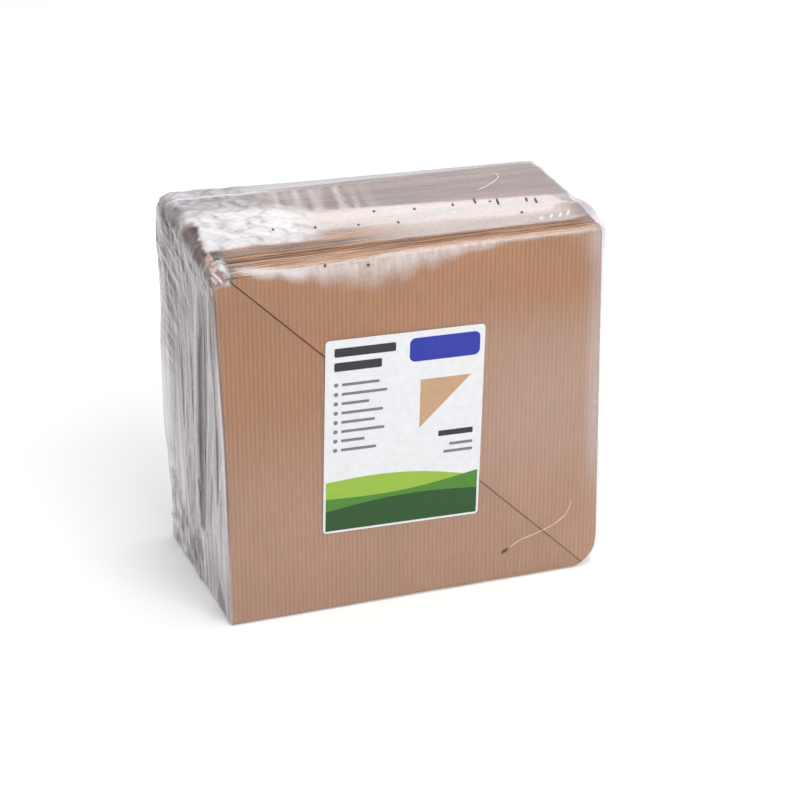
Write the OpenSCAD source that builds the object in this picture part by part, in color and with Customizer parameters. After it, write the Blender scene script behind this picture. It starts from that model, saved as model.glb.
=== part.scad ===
// Shrink-wrapped pack of flat kraft paper cones
// Two stacks of folded cones stand on edge, long edge to long edge, in one clear film with a paper label
// Millimetres, Z up, front toward -Y, with the origin under the middle of the overall box

/* [Cones] */
// Leg of one flat folded cone, a right triangle with equal legs
cone_leg = 190; // [150:1:260]
// Depth of the two stacks, front to back
stack_d = 98.4; // [60:0.2:160]
// Counted bundles in each stack
bundle_n = 10; // [4:1:16]
// Least distance of a bundle's legs from the air gap under the film
edge_back = 0.3; // [0.3:0.1:1]
// Most that loose counting sets one bundle back from another
bundle_jog = 1.4; // [0.2:0.1:3]
// Slide of the upper stack down along the seam
seam_slide = 4.6; // [1:0.2:10]
// Gap between the long edges of the two stacks
seam_gap = 1; // [0.2:0.1:3]
// Sideways lean of the pack, from its back to its front
pack_lean = 2.7; // [0:0.1:8]

/* [Film] */
// Thickness of the shrink film
film_t = 0.08; // [0.04:0.01:0.2]
// Air left between the film and the paper
film_gap = 0.3; // [0.1:0.05:1]
// Radius of the bottom left corner, seen from the front
bottom_left_r = 3; // [2:0.5:12]
// Radius of the bottom right corner, seen from the front
bottom_right_r = 14; // [4:0.5:24]
// Radius of the top right corner, seen from the front
top_right_r = 9; // [4:0.5:20]
// Radius of the top left corner, seen from the front
top_left_r = 7; // [4:0.5:20]
// Radius of the upright edges
upright_r = 5; // [2:0.5:10]
// Radius of the two long top edges
top_edge_r = 5; // [2:0.5:10]
// Radius of the two long bottom edges
bottom_edge_r = 2; // [1.5:0.5:6]

/* [Gathers] */
// Gathers drawn up on the left end
gather_n = 9; // [3:1:13]
// Height of the tallest gather above the film
gather_h = 2.4; // [1:0.1:5]
// Thickness of a gather
gather_t = 1.8; // [0.8:0.1:4]
// Height of the left end that the longest gather takes up
gather_len = 160; // [60:1:170]

/* [Weld] */
// Distance of the weld line from the back of the pack
weld_back = 15; // [12:0.5:40]
// Width of the weld bead
weld_w = 1.4; // [0.6:0.1:4]
// Height of the weld bead
weld_h = 0.4; // [0.2:0.1:1.2]
// Height above the base at which the bead and its lower ear end
weld_low = 14; // [8:1:40]
// Reach of the shrunk ears at the two ends of the left weld
ear_reach = 3.4; // [1:0.2:8]
// Height of a shrunk ear
ear_h = 11; // [4:0.5:20]

/* [Vents] */
// Diameter of a needle vent in the film
vent_d = 1.2; // [0.6:0.1:3]
// Spacing of the vents along a row
vent_pitch = 20; // [10:1:40]
// Distance of the outer vents from the ends of the pack
vent_margin = 22; // [14:1:40]
// Drop of the front row below the top
vent_drop = 9; // [8:0.5:30]

/* [Label] */
// Width of the label
label_w = 81; // [40:1:120]
// Height of the label
label_h = 104; // [40:1:120]
// Thickness of the label
label_t = 0.12; // [0.08:0.02:0.4]
// Corner radius of the label
label_r = 2; // [0.5:0.5:8]
// Offset of the label from the middle, to the right
label_right = -5.2; // [-20:0.2:20]
// Offset of the label from half height, upward
label_up = -1; // [-10:0.5:10]
// Lean of the label, in degrees
label_turn = 1.5; // [-6:0.1:6]

/* [Hidden] */

// Colours of the pieces
kraft = [0.71, 0.55, 0.44];
clear = [0.86, 0.88, 0.91, 0.35];
white = [0.94, 0.94, 0.95];

// Facets in one rounded corner, points along a gather, and how far cutting shapes run past the pack
corner_steps = 6;
gather_steps = 14;
past = 20;
// Room that keeps the walls of crossing outlines from lying in one plane
slack = 0.2;

// The block that the film wraps, seen from outside
inset = film_t + film_gap;
seam_step = seam_gap * sqrt(2);
pack_w = cone_leg + seam_slide + 2 * (inset + edge_back);
left_h = cone_leg + 2 * (inset + edge_back);
right_h = left_h - seam_slide + seam_step;
pack_d = stack_d + 2 * inset;
lean_angle = atan(pack_lean / pack_d);
top_slope = atan((left_h - right_h) / pack_w);
bundle_t = stack_d / bundle_n;
weld_y = pack_d / 2 - weld_back;

// Sideways place of the pack's middle at depth y
function lean_at(y) = -pack_lean * y / pack_d;

// Gather number i: its place across the left end, its height and its lean, uneven as shrinking leaves them
function gather_y(i) = pack_d * (-0.36 + 0.6 * i / (gather_n - 1)) + gather_t * sin(140 * i);
function gather_rise(i) = gather_h * (0.7 + 0.3 * sin(70 + 125 * i));
function gather_span(i) = gather_len * (0.82 + 0.18 * cos(97 * i));
function gather_lean(i) = 3.2 * cos(180 * i / (gather_n - 1)) + 0.8 * sin(200 * i);
function gather_tip(i) = -pack_w / 2 + lean_at(gather_y(i)) - gather_rise(i);

// Shift that brings the middle of the overall box over the origin
left_reach = min(
    min([for (i = [0 : gather_n - 1]) gather_tip(i)]),
    -pack_w / 2 + lean_at(weld_y) - ear_reach
);
right_reach = pack_w / 2 + lean_at(upright_r - pack_d / 2);
centre_shift = [-(left_reach + right_reach) / 2, label_t / 2, 0];

// Points of the arc of radius r that rounds corner p between its neighbours a and b
function corner_arc(p, a, b, r) =
    let(
        u = (a - p) / norm(a - p),
        v = (b - p) / norm(b - p),
        half = acos(u * v) / 2,
        middle = p + (u + v) / norm(u + v) * r / sin(half),
        start = p + u * r / tan(half) - middle,
        from = atan2(start.y, start.x),
        step = (180 - 2 * half) / corner_steps
    )
    [for (i = [0 : corner_steps]) middle + r * [cos(from + step * i), sin(from + step * i)]];

// Outline through the given corners, counterclockwise, each rounded by its own radius
function rounded(corners, radii) =
    let(n = len(corners))
    [
        for (k = [0 : n - 1])
            each corner_arc(corners[k], corners[(k + n - 1) % n], corners[(k + 1) % n], radii[k])
    ];

// Outline of the pack seen from the front, s inside the film's face
function front_outline(s) =
    let(x = pack_w / 2 * cos(lean_angle) + slack - s)
    rounded(
        [[-x, s], [x, s], [x, right_h - s], [-x, left_h - s]],
        [bottom_left_r - s, bottom_right_r - s, top_right_r - s, top_left_r - s]
    );

// Outline of the pack seen from above, s inside the film's face
function plan_outline(s) =
    let(x = pack_w / 2 - s, y = pack_d / 2 - s)
    rounded(
        [[-x + lean_at(-y), -y], [x + lean_at(-y), -y], [x + lean_at(y), y], [-x + lean_at(y), y]],
        [for (k = [0 : 3]) upright_r - s]
    );

// Outline of the pack seen from its end, s inside the film's face, with its long edges rounded
function end_outline(low, high, low_r, high_r, s) =
    let(y = pack_d / 2 + slack - s)
    rounded([[-y, low], [y, low], [y, high], [-y, high]], [low_r, low_r, high_r, high_r]);

// Prism along X over an outline drawn in Y and Z
module end_prism(outline) {
    translate([-pack_w / 2 - past, 0, 0])
        rotate([90, 0, 90])
            linear_extrude(pack_w + 2 * past)
                polygon(outline);
}

// Solid block inside the film, s inside the film's outer face
module block(s) {
    intersection() {
        rotate([0, 0, lean_angle])
            translate([0, pack_d / 2 + past, 0])
                rotate([90, 0, 0])
                    linear_extrude(pack_d + 2 * past)
                        polygon(front_outline(s));
        translate([0, 0, -past])
            linear_extrude(left_h + 2 * past)
                polygon(plan_outline(s));
        end_prism(end_outline(s - slack, left_h + past, bottom_edge_r - s, top_edge_r, s));
        translate([0, 0, (left_h + right_h) / 2])
            rotate([0, top_slope, 0])
                end_prism(end_outline(-left_h - past, slack - s, bottom_edge_r, top_edge_r - s, s));
    }
}

// Flat cone in one bundle: right angle at the origin, legs set back by x and z, long edge kept at the seam
module flat_cone(x, z) {
    polygon([[x, z], [cone_leg - z, z], [x, cone_leg - x]]);
}

// Flat cone at its place in the pack: right angle low on the left, or high on the right in the upper stack
module placed_cone(upper, x, z) {
    corner = [pack_w / 2 - inset - edge_back, right_h - inset - edge_back];
    if (upper)
        translate(corner)
            rotate(180)
                flat_cone(x, z);
    else
        translate([-corner.x, inset + edge_back])
            flat_cone(x, z);
}

// Stack of counted bundles from front to back, each with its own small setback, pressed blunt by the film
module stack(upper) {
    seed = upper ? 205 : 40;
    intersection() {
        for (k = [0 : bundle_n - 1]) {
            back_y = -stack_d / 2 + bundle_t * (k + 1);
            set_x = bundle_jog * (0.5 + 0.5 * sin(seed + 151 * k));
            set_z = bundle_jog * (0.5 + 0.5 * sin(seed + 60 + 227 * k));
            translate([lean_at(back_y - bundle_t / 2), back_y, 0])
                rotate([90, 0, 0])
                    linear_extrude(bundle_t)
                        placed_cone(upper, set_x, set_z);
        }
        block(inset);
    }
}

// Film drawn up into a thin fold that runs up the left end, s inside the film's outer face
module gather(i, s) {
    rise = gather_rise(i) + slack - s;
    half_span = gather_span(i) / 2;
    crest = [
        for (k = [0 : gather_steps])
            let(t = 2 * k / gather_steps - 1)
            [slack - rise * (1 - t * t), t * half_span]
    ];
    root = [[gather_h + slack, half_span], [gather_h + slack, -half_span]];
    translate([-pack_w / 2 + lean_at(gather_y(i)), gather_y(i), left_h / 2])
        rotate([gather_lean(i), 0, 0])
            rotate([90, 0, 0])
                linear_extrude(gather_t - 2 * s, center = true)
                    polygon(concat(crest, root));
}

// Every gather on the left end
module gathers(s) {
    for (i = [0 : gather_n - 1])
        gather(i, s);
}

// Weld bead up the left end, over the top and down the right end, where the film was sealed
module weld() {
    intersection() {
        block(-weld_h);
        translate([-pack_w, weld_y - weld_w / 2, weld_low])
            cube([2 * pack_w, weld_w, left_h]);
    }
}

// Shrunk ear that ends the left weld, centred at height z
module ear(z) {
    translate([-pack_w / 2 + lean_at(weld_y), weld_y, z])
        rotate([90, 0, 0])
            linear_extrude(gather_t, center = true)
                polygon(rounded(
                    [
                        [gather_h, -ear_h / 2],
                        [gather_h, ear_h / 2],
                        [-ear_reach, ear_h / 4],
                        [-ear_reach, -ear_h / 4]
                    ],
                    [slack, slack, ear_h / 5, ear_h / 5]
                ));
}

// Needle vents in a row over the top and a row along the front
module vents() {
    vent_n = floor((pack_w - 2 * vent_margin) / vent_pitch);
    for (i = [0 : vent_n]) {
        x = (i - vent_n / 2) * vent_pitch;
        translate([x, 0, right_h - past])
            cylinder(d = vent_d, h = 2 * past, $fn = 24);
        translate([x, -pack_d / 2, right_h - vent_drop])
            rotate([90, 0, 0])
                cylinder(d = vent_d, h = past, center = true, $fn = 24);
    }
}

// Stack of cones with its right angle low on the left
module lower_cones() {
    color(kraft)
        translate(centre_shift)
            stack(upper = false);
}

// Stack of cones with its right angle high on the right
module upper_cones() {
    color(kraft)
        translate(centre_shift)
            stack(upper = true);
}

// Clear film shrunk round both stacks, gathered and welded on its left end
module shrink_film() {
    color(clear)
        translate(centre_shift)
            difference() {
                union() {
                    block(0);
                    gathers(0);
                    weld();
                    ear(weld_low);
                    ear(left_h - weld_low);
                }
                block(film_t);
                gathers(film_t);
                vents();
            }
}

// Paper label stuck on the front of the film
module label() {
    w = label_w / 2;
    h = label_h / 2;
    color(white)
        translate(centre_shift)
            translate([lean_at(-pack_d / 2) + label_right, -pack_d / 2, left_h / 2 + label_up])
                rotate([0, label_turn, 0])
                    rotate([90, 0, 0])
                        linear_extrude(label_t)
                            polygon(rounded(
                                [[-w, -h], [w, -h], [w, h], [-w, h]],
                                [for (k = [0 : 3]) label_r]
                            ));
}

lower_cones();
upper_cones();
shrink_film();
label();
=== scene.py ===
import math

import bpy
import numpy as np
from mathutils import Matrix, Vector


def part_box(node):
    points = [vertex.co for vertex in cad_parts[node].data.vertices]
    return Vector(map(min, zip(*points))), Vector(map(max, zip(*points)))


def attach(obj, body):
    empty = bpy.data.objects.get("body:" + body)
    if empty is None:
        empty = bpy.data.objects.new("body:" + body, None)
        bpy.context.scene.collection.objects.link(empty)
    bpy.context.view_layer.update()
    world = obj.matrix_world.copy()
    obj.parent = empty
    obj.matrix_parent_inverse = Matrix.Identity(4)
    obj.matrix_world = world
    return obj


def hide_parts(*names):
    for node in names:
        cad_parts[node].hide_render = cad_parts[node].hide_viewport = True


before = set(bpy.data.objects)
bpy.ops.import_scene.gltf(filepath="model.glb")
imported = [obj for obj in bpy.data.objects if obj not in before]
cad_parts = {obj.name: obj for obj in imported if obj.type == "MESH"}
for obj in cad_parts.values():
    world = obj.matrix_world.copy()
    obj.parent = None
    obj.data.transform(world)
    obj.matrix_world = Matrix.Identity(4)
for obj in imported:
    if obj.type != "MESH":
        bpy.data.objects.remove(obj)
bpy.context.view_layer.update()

# Lengths below are in millimetres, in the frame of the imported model. Meshes are written in metres.
MM = 0.001

# Camera, fitted to the corners of the pack in the photograph
CAMERA_AZIMUTH = -17.726
CAMERA_ELEVATION = 26.22
CAMERA_DISTANCE = 1288.57
CAMERA_TARGET = (12.2, 0.06, 84.65)
CAMERA_LENS = 114.15
SENSOR_WIDTH = 36.0

# The block that the film wraps, as in the part's source
PACK_W = 195.96
LEFT_H = 191.36
RIGHT_H = 188.17
PACK_LEAN = 2.7
CAD_UPRIGHT_R = 5.0
FILM_LOW, FILM_HIGH = (np.array(corner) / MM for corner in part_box("shrink_film"))
FRONT = FILM_LOW[1]
BACK = FILM_HIGH[1]
PACK_D = BACK - FRONT
HALF_W = PACK_W / 2
MID_X = FILM_HIGH[0] - HALF_W - PACK_LEAN * (0.5 - CAD_UPRIGHT_R / PACK_D)

# Corners of the film seen from the front: left or right, down or up, and radius
CORNERS = ((-1, -1, 1.2), (1, -1, 15.0), (1, 1, 3.5), (-1, 1, 7.0))
# Radii of the film's other edges
FRONT_LEFT_R = 2.0
FRONT_RIGHT_R = 5.0
BACK_UPRIGHT_R = 6.0
TOP_BACK_R = 4.0
BOTTOM_EDGE_R = 0.8

# How the soft pack has settled: its foot slid to the right in front, its far top corner drew in,
# its left side came forwards and its near left top corner reached out
FOOT_SLIDE = 3.2
CORNER_DRAW = 4.0
LEFT_FORWARD = 3.0
TOP_REACH = 1.0

# Stacks of cones
CONE_LEG = 190.0
EDGE_BACK = 0.45
STACK_D = 98.4
BUNDLE_ENDS = (0, 7.2, 15.2, 24, 34, 45, 56, 67, 78, 88, STACK_D)
BUNDLE_GAP = 0.3
SHEET_PITCH = 0.51
SHEET_SHARE = 0.92
PAPER_CLEAR = 0.45

# Jog of the bundles and of the front one, and the angles that it swings with along x and z
BUNDLE_JOG = 1.4
FRONT_JOG = 0.2
JOG_TURN_X = 151
JOG_TURN_Z = 227
JOG_LEAD_Z = 60

# The seam between the stacks: how far it closed up, its shift to the upper right, and its tilt
SEAM_CLOSE = 0.7
SEAM_SHIFT = -0.9
SEAM_TILT = 4.8

# Narrow slit at the seam's open end, high on the left, where the sheets are darkened as painted shade,
# and the lower tip bent up beside it
SLIT_X = -88.4
SLIT_FOOT = 179
SLIT_PAINTED_SHADE = 0.72
TIP_BEND = 6.0

# Darker tone of the last sheet of each bundle and of one sheet at a depth behind the front: painted
# shade, for the shadowed gaps between bundles and a dark line behind the front
GAP_SHADE_TONE = 0.7
SHADE_LINE_DEPTH = 11

WELD_Y = BACK - 15.0


def lean(y):
    """Sideways place of the pack's middle at depth y."""
    return MID_X - PACK_LEAN * ((y - FRONT) / PACK_D - 0.5)


def top_z(x):
    """Height of the film's flat top over x, counted from the pack's middle."""
    return LEFT_H + (RIGHT_H - LEFT_H) * (x + HALF_W) / PACK_W


def smooth(low, high, value):
    """Smooth step from 0 at low to 1 at high, which falls along value where low is the greater."""
    t = np.clip((value - low) / (high - low), 0, 1)
    return t * t * (3 - 2 * t)


def towards(value, goal, share):
    """Moves a value to a goal by a share of the way."""
    return value + (goal - value) * share


def top_front_r(x):
    """Radius of the top front edge, wider on the left where the film tents over it."""
    return 9.0 - 5.0 * smooth(-70, 60, x)


def crown(y):
    """Height that the middle of the top bulges above its front edge."""
    s = (y - FRONT) / PACK_D
    return 2.0 * (1 - ((s - 0.58) / 0.58) ** 2)


def forward(points):
    """Brings the left side of the front forwards, as the pack stands slightly askew."""
    x, y, z = np.asarray(points, float).T
    ahead = LEFT_FORWARD * (BACK - y) / PACK_D * (HALF_W - x) / PACK_W
    return np.column_stack((x, y - ahead, z))


def settle(points):
    """Moves points of the square block to where the soft pack has settled."""
    x, y, z = np.asarray(points, float).T
    behind, high, right = (y - FRONT) / PACK_D, z / LEFT_H, (x + HALF_W) / PACK_W
    slide = (FOOT_SLIDE * (1 - high) - TOP_REACH * high * (1 - right)) * (1 - behind)
    draw = CORNER_DRAW * behind * np.maximum(high + right - 1, 0)
    return forward(np.column_stack((x + slide, y - draw, z)))


def pull_in(radius, depth):
    """How far an edge of this radius draws in at a depth behind the face that it starts on."""
    gap = np.clip(radius - depth, 0, radius)
    return radius - np.sqrt(radius ** 2 - gap ** 2)


def value_noise(u, v, seed):
    """Smooth noise from 0 to 1 over a plane, the same on every run."""
    table = np.random.RandomState(seed).rand(64, 64)
    iu, iv = np.floor(u).astype(int), np.floor(v).astype(int)
    fu, fv = u - iu, v - iv
    fu, fv = fu * fu * (3 - 2 * fu), fv * fv * (3 - 2 * fv)
    near = table[iu % 64, iv % 64] * (1 - fu) + table[(iu + 1) % 64, iv % 64] * fu
    far = table[iu % 64, (iv + 1) % 64] * (1 - fu) + table[(iu + 1) % 64, (iv + 1) % 64] * fu
    return near * (1 - fv) + far * fv


def creases(u, v, seed):
    """Sharp-crested noise from 0 to 1, like the ridges of crumpled film."""
    ridge = 1 - np.abs(2 * value_noise(u, v, seed) - 1)
    fine = 1 - np.abs(2 * value_noise(2.1 * u + 7, 2.3 * v + 3, seed + 1) - 1)
    return 0.65 * ridge ** 2 + 0.35 * fine ** 2


FOLD_WAYS = 5


def fold_phases(u, v, seed, size):
    """Distances along several slanted ways over a plane, in folds, with the size of each fold."""
    rng = np.random.RandomState(seed)
    u = u + size * 0.5 * value_noise(u / (2 * size), v / (2 * size), seed + 1)
    v = v + size * 0.5 * value_noise(u / (2 * size) + 9, v / (2 * size), seed + 2)
    for n in range(FOLD_WAYS):
        turn, pitch = rng.uniform(0, math.pi), size * rng.uniform(0.8, 2.2)
        yield (u * math.cos(turn) + v * math.sin(turn)) / pitch + rng.uniform(0, 1), pitch


def facets(u, v, seed, size):
    """Flat facets between straight creases, from 0 to about 1, as film crumples under tension."""
    phases = fold_phases(u, v, seed, size)
    return sum(np.abs(phase % 1 - 0.5) * 2 * pitch / size for phase, pitch in phases) / (1.5 * FOLD_WAYS)


def fold_lines(u, v, seed, size, width):
    """Thin straight folds in several ways, 1 on a fold and 0 between them."""
    lines = np.zeros_like(u)
    for phase, pitch in fold_phases(u, v, seed, size):
        lines = np.maximum(lines, 1 - smooth(0, width, np.abs(phase % 1 - 0.5) * pitch))
    return lines


def new_mesh(name, points, faces, smooth_shade):
    """Object from points in millimetres."""
    mesh = bpy.data.meshes.new(name)
    mesh.from_pydata((np.asarray(points) * MM).tolist(), [], faces)
    mesh.polygons.foreach_set("use_smooth", [smooth_shade] * len(mesh.polygons))
    mesh.update()
    made = bpy.data.objects.new(name, mesh)
    bpy.context.collection.objects.link(made)
    return made


def ring_faces(start, rings, sides, closed=False, flip=False):
    """Quads between rings of points that follow each other."""
    faces = []
    for n in range(rings if closed else rings - 1):
        near, far = start + n * sides, start + (n + 1) % rings * sides
        for k in range(sides):
            m = (k + 1) % sides
            quad = (near + k, far + k, far + m, near + m)
            faces.append((quad[0], *quad[:0:-1]) if flip else quad)
    return faces


def prism_faces(start, count):
    """Faces of a plate whose front outline's points come before those of its back."""
    front, back = range(start, start + count), range(start + count, start + 2 * count)
    return [list(front), list(reversed(back)), *ring_faces(start, 2, count)]


def point_values(piece, **values):
    """Stores a number of each name per point, for the piece's material."""
    for name, numbers in values.items():
        store = piece.data.attributes.new(name, "FLOAT", "POINT")
        store.data.foreach_set("value", np.asarray(numbers, dtype=np.float32))


# Materials


def new_material(name):
    """Empty material with its node tree and the node of its coordinates on the object."""
    made = bpy.data.materials.new(name)
    made.use_nodes = True
    made.node_tree.nodes.clear()
    place = add(made.node_tree, "TexCoord").outputs["Object"]
    return made, made.node_tree, place


def add(tree, kind, inputs=None, **props):
    """Adds a shader node, with sockets and numbers for its inputs."""
    made = tree.nodes.new("ShaderNode" + kind)
    for name, value in props.items():
        setattr(made, name, value)
    for name, value in (inputs or {}).items():
        if isinstance(value, bpy.types.NodeSocket):
            tree.links.new(value, made.inputs[name])
        else:
            made.inputs[name].default_value = value
    return made


def ramp(tree, fac, stops):
    """Colour ramp through (place, colour) stops."""
    made = add(tree, "ValToRGB", {"Fac": fac})
    marks = made.color_ramp.elements
    while len(marks) < len(stops):
        marks.new(0.5)
    for mark, (place, colour) in zip(marks, stops):
        mark.position = place
        mark.color = (*colour, 1) if len(colour) == 3 else colour
    return made.outputs["Color"]


def math_node(tree, operation, a, b):
    return add(tree, "Math", {0: a, 1: b}, operation=operation).outputs[0]


def times(tree, a, b):
    return math_node(tree, "MULTIPLY", a, b)


def plus(tree, a, b):
    return math_node(tree, "ADD", a, b)


def minus(tree, a, b):
    return math_node(tree, "SUBTRACT", a, b)


def noise(tree, place, scale, detail):
    """Shader noise, mostly from 0.3 to 0.7."""
    return add(tree, "TexNoise", {"Vector": place, "Scale": scale, "Detail": detail}).outputs["Fac"]


def spread(tree, fac, low, high):
    """Spreads shader noise from a low to a high grey."""
    return ramp(tree, fac, [(0.3, grey(low)), (0.7, grey(high))])


def stretch(tree, place, scale):
    """Shader coordinates scaled along x, y and z."""
    return add(tree, "Mapping", {"Vector": place, "Scale": scale}).outputs["Vector"]


def bumped(tree, height, strength, distance, **more):
    """Normal of a surface with fine relief."""
    sockets = {"Height": height, "Strength": strength, "Distance": distance, **more}
    return add(tree, "Bump", sockets).outputs["Normal"]


def attribute(tree, name):
    return add(tree, "Attribute", attribute_name=name).outputs["Fac"]


def show(tree, shader):
    """Makes a shader the surface of its material."""
    out = add(tree, "OutputMaterial")
    tree.links.new(shader.outputs[0], out.inputs["Surface"])


def from_srgb(*levels):
    """Linear colour from 0 to 255 screen levels."""
    return tuple(((n / 255 + 0.055) / 1.055) ** 2.4 if n > 10 else n / 255 / 12.92 for n in levels)


def grey(level):
    return (level, level, level)


RIB_PITCH = 2.2
RIB_SCALE = 2 * math.pi / (20 * RIB_PITCH * MM)
KRAFT_DARK = from_srgb(168, 117, 80)
KRAFT_LIGHT = from_srgb(184, 132, 94)
# Brightness of a sheet's cut edge, which is paler and less brown, and of its face
CUT_EDGE = (1.7, 1.95, 2.3)
SHEET_FACE = 0.86


def kraft_material():
    """Brown kraft paper with fine upright ribs, mottled fibres, pale cut edges and a tone per sheet,
    which also carries painted shade in the gaps and in the seam's slit.
    """
    made, tree, place = new_material("kraft_ribbed")
    ribs = add(
        tree, "TexWave",
        {"Vector": place, "Scale": RIB_SCALE, "Distortion": 0.5, "Detail": 1.0, "Detail Scale": 0.4},
        bands_direction="X",
    ).outputs["Fac"]
    fibre = noise(tree, stretch(tree, place, (1, 1, 0.12)), 900.0, 3.0)
    mottle = noise(tree, place, 28.0, 4.0)
    facing = add(tree, "SeparateXYZ", {0: add(tree, "NewGeometry").outputs["True Normal"]}).outputs["Y"]
    facing = add(tree, "Math", {0: facing}, operation="ABSOLUTE").outputs[0]
    ribs = times(tree, ribs, facing)
    colour = ramp(tree, ribs, [(0.0, KRAFT_DARK), (1.0, KRAFT_LIGHT)])
    edges = ramp(tree, facing, [(0.0, CUT_EDGE), (1.0, grey(SHEET_FACE))])
    colour = add(tree, "VectorMath", {0: colour, 1: edges}, operation="MULTIPLY").outputs["Vector"]
    shade = times(tree, spread(tree, fibre, 0.9, 1.08), attribute(tree, "tone"))
    shade = times(tree, spread(tree, mottle, 0.94, 1.05), shade)
    colour = add(tree, "VectorMath", {0: colour, "Scale": shade}, operation="SCALE").outputs["Vector"]
    bump = bumped(tree, plus(tree, ribs, times(tree, fibre, 0.5)), 0.25, 0.0002)
    show(tree, add(
        tree, "BsdfPrincipled",
        {"Base Color": colour, "Roughness": 0.72, "Specular IOR Level": 0.3, "Normal": bump},
    ))
    return made


# Values stored at each point of the film: how covered it is with milky layers, how white these are,
# how much upright streaks open them, and how much slanted streaks and upright pleats mark them.
# The whiteness is painted reflection and painted shade of the film's folds and crumples, over its own
# milkiness.
FILM_VALUES = ("haze", "white", "streak", "slant", "pleat")
# Turn of the slanted streaks on the crumpled end, painted reflection and shade of fine wrinkles
SLANT_TURN = math.radians(-21.7)
# Milky film from its darkest fold to its whitest, the dark end painted shade and the white end painted
# reflection
SILVER = (
    (0.0, from_srgb(72, 64, 67)), (0.5, from_srgb(164, 160, 167)), (1.0, from_srgb(243, 241, 243)),
)
FILM_IOR = 1.5
# Share of the cover that is left where the film is seen from its inside
INSIDE_COVER = 0.4


def film_whiteness(tree, place, white, slant, pleat):
    """Whiteness of the milky film with its slanted streaks and pleats, which paint reflection and shade
    of fine wrinkles, and the pleats alone.
    """
    turned = add(tree, "Mapping", {"Vector": place, "Rotation": (SLANT_TURN, 0, 0)}).outputs["Vector"]
    wrinkle_streaks = noise(tree, stretch(tree, turned, (1, 0.08, 1)), 300.0, 3.0)
    wrinkle_streaks = ramp(tree, wrinkle_streaks, [(0.40, grey(0.0)), (0.53, grey(0.44)), (0.71, grey(0.88))])
    white = plus(tree, white, times(tree, slant, minus(tree, wrinkle_streaks, white)))
    pleats = spread(tree, noise(tree, stretch(tree, place, (1, 1, 0.03)), 330.0, 4.0), 0.0, 1.0)
    pleats = times(tree, pleat, minus(tree, pleats, 0.5))
    return plus(tree, white, times(tree, pleats, 0.55)), pleats


def film_layers(tree, place, haze, streak, inside):
    """Share of the film that milky layers cover, with flecks and open streaks."""
    lines = noise(tree, stretch(tree, place, (1, 1, 0.07)), 420.0, 2.0)
    lines = ramp(tree, lines, [(0.36, grey(0.0)), (0.62, grey(1.0))])
    gaps = times(tree, streak, minus(tree, 1.0, lines))
    patchy = times(tree, haze, spread(tree, noise(tree, place, 420.0, 2.0), 0.85, 1.0))
    patchy = times(tree, patchy, minus(tree, 1.0, gaps))
    return times(tree, patchy, minus(tree, 1.0, times(tree, inside, 1 - INSIDE_COVER)))


def film_material():
    """Clear glossy shrink film that turns silvery where its layers lie on each other, the silver being
    milky colour with painted reflection and shade.
    """
    made, tree, place = new_material("film_clear")
    haze, white, streak, slant, pleat = (attribute(tree, name) for name in FILM_VALUES)
    white, pleats = film_whiteness(tree, place, white, slant, pleat)
    bump = bumped(tree, noise(tree, place, 70.0, 3.0), 0.15, 0.0001)
    bump = bumped(tree, pleats, 0.4, 0.0006, Normal=bump)
    inside = add(tree, "NewGeometry").outputs["Backfacing"]
    mirror = add(tree, "Fresnel", {"IOR": FILM_IOR, "Normal": bump}).outputs["Fac"]
    shine = times(tree, mirror, minus(tree, 1.0, inside))
    clear = add(tree, "BsdfTransparent")
    gloss = add(tree, "BsdfGlossy", {"Color": (1, 1, 1, 1), "Roughness": 0.05, "Normal": bump})
    skin = add(tree, "MixShader", {0: shine, 1: clear.outputs[0], 2: gloss.outputs[0]})
    milk = add(
        tree, "BsdfPrincipled",
        {
            "Base Color": ramp(tree, white, SILVER), "Roughness": 0.16, "Specular IOR Level": 0.2,
            "Normal": bump,
        },
    )
    cover = film_layers(tree, place, haze, streak, inside)
    show(tree, add(tree, "MixShader", {0: cover, 1: skin.outputs[0], 2: milk.outputs[0]}))
    return made


def print_material(name, colour, roughness=0.35):
    """Coated label paper or ink on it, with a faint unevenness."""
    made, tree, place = new_material(name)
    grain = noise(tree, place, 260.0, 3.0)
    low, high = (tuple(min(1, level * share) for level in colour) for share in (0.96, 1.03))
    tint = ramp(tree, grain, [(0.3, low), (0.7, high)])
    bump = bumped(tree, grain, 0.08, 0.0001)
    show(tree, add(tree, "BsdfPrincipled", {"Base Color": tint, "Roughness": roughness, "Normal": bump}))
    return made


# Stacks of cones


def leg_marks():
    """Places along a leg of a flat cone, closer together at the tips."""
    ends = [0, 0.6, 1.2, 2, 3, 4.5, 6, 8, 10, 12.5]
    middle = np.arange(16, CONE_LEG - 14, 4.0)
    return np.concatenate((ends, middle, [CONE_LEG - n for n in reversed(ends)]))


def wave(along, rng):
    """Small waviness of one sheet's cut edge."""
    swing = 0.16 * np.sin(along / rng.uniform(9, 20) + rng.uniform(0, 6.3))
    return 0.22 + swing + 0.1 * np.sin(along / rng.uniform(3, 6) + rng.uniform(0, 6.3))


def cone_outline(set_x, set_z, cuts, shift, bend, rng):
    """Outline of a flat cone from its right angle, along one leg, the long edge and the other leg."""
    marks = leg_marks()
    ground = np.column_stack((marks, set_z + wave(marks, rng)))
    wall = np.column_stack((set_x + wave(marks, rng), marks))
    close = SEAM_CLOSE + shift + rng.uniform(-0.1, 0.1)

    def beyond(height):
        tip = np.maximum(height - CONE_LEG + bend, 0)
        return close + SEAM_TILT * (height / CONE_LEG - 0.5) + tip

    seam = np.column_stack((CONE_LEG - marks, marks))[1:-1]
    seam += beyond(seam[:, 1:]) / 2
    outline = np.vstack((ground, seam, wall[::-1]))
    outline[:, 0] = np.clip(outline[:, 0], set_x, CONE_LEG - cuts[0])
    outline[:, 1] = np.clip(outline[:, 1], set_z, CONE_LEG - cuts[1])
    over = np.maximum(outline.sum(axis=1) - CONE_LEG - beyond(outline[:, 1]), 0) / 2
    return outline - over[:, None]


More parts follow.
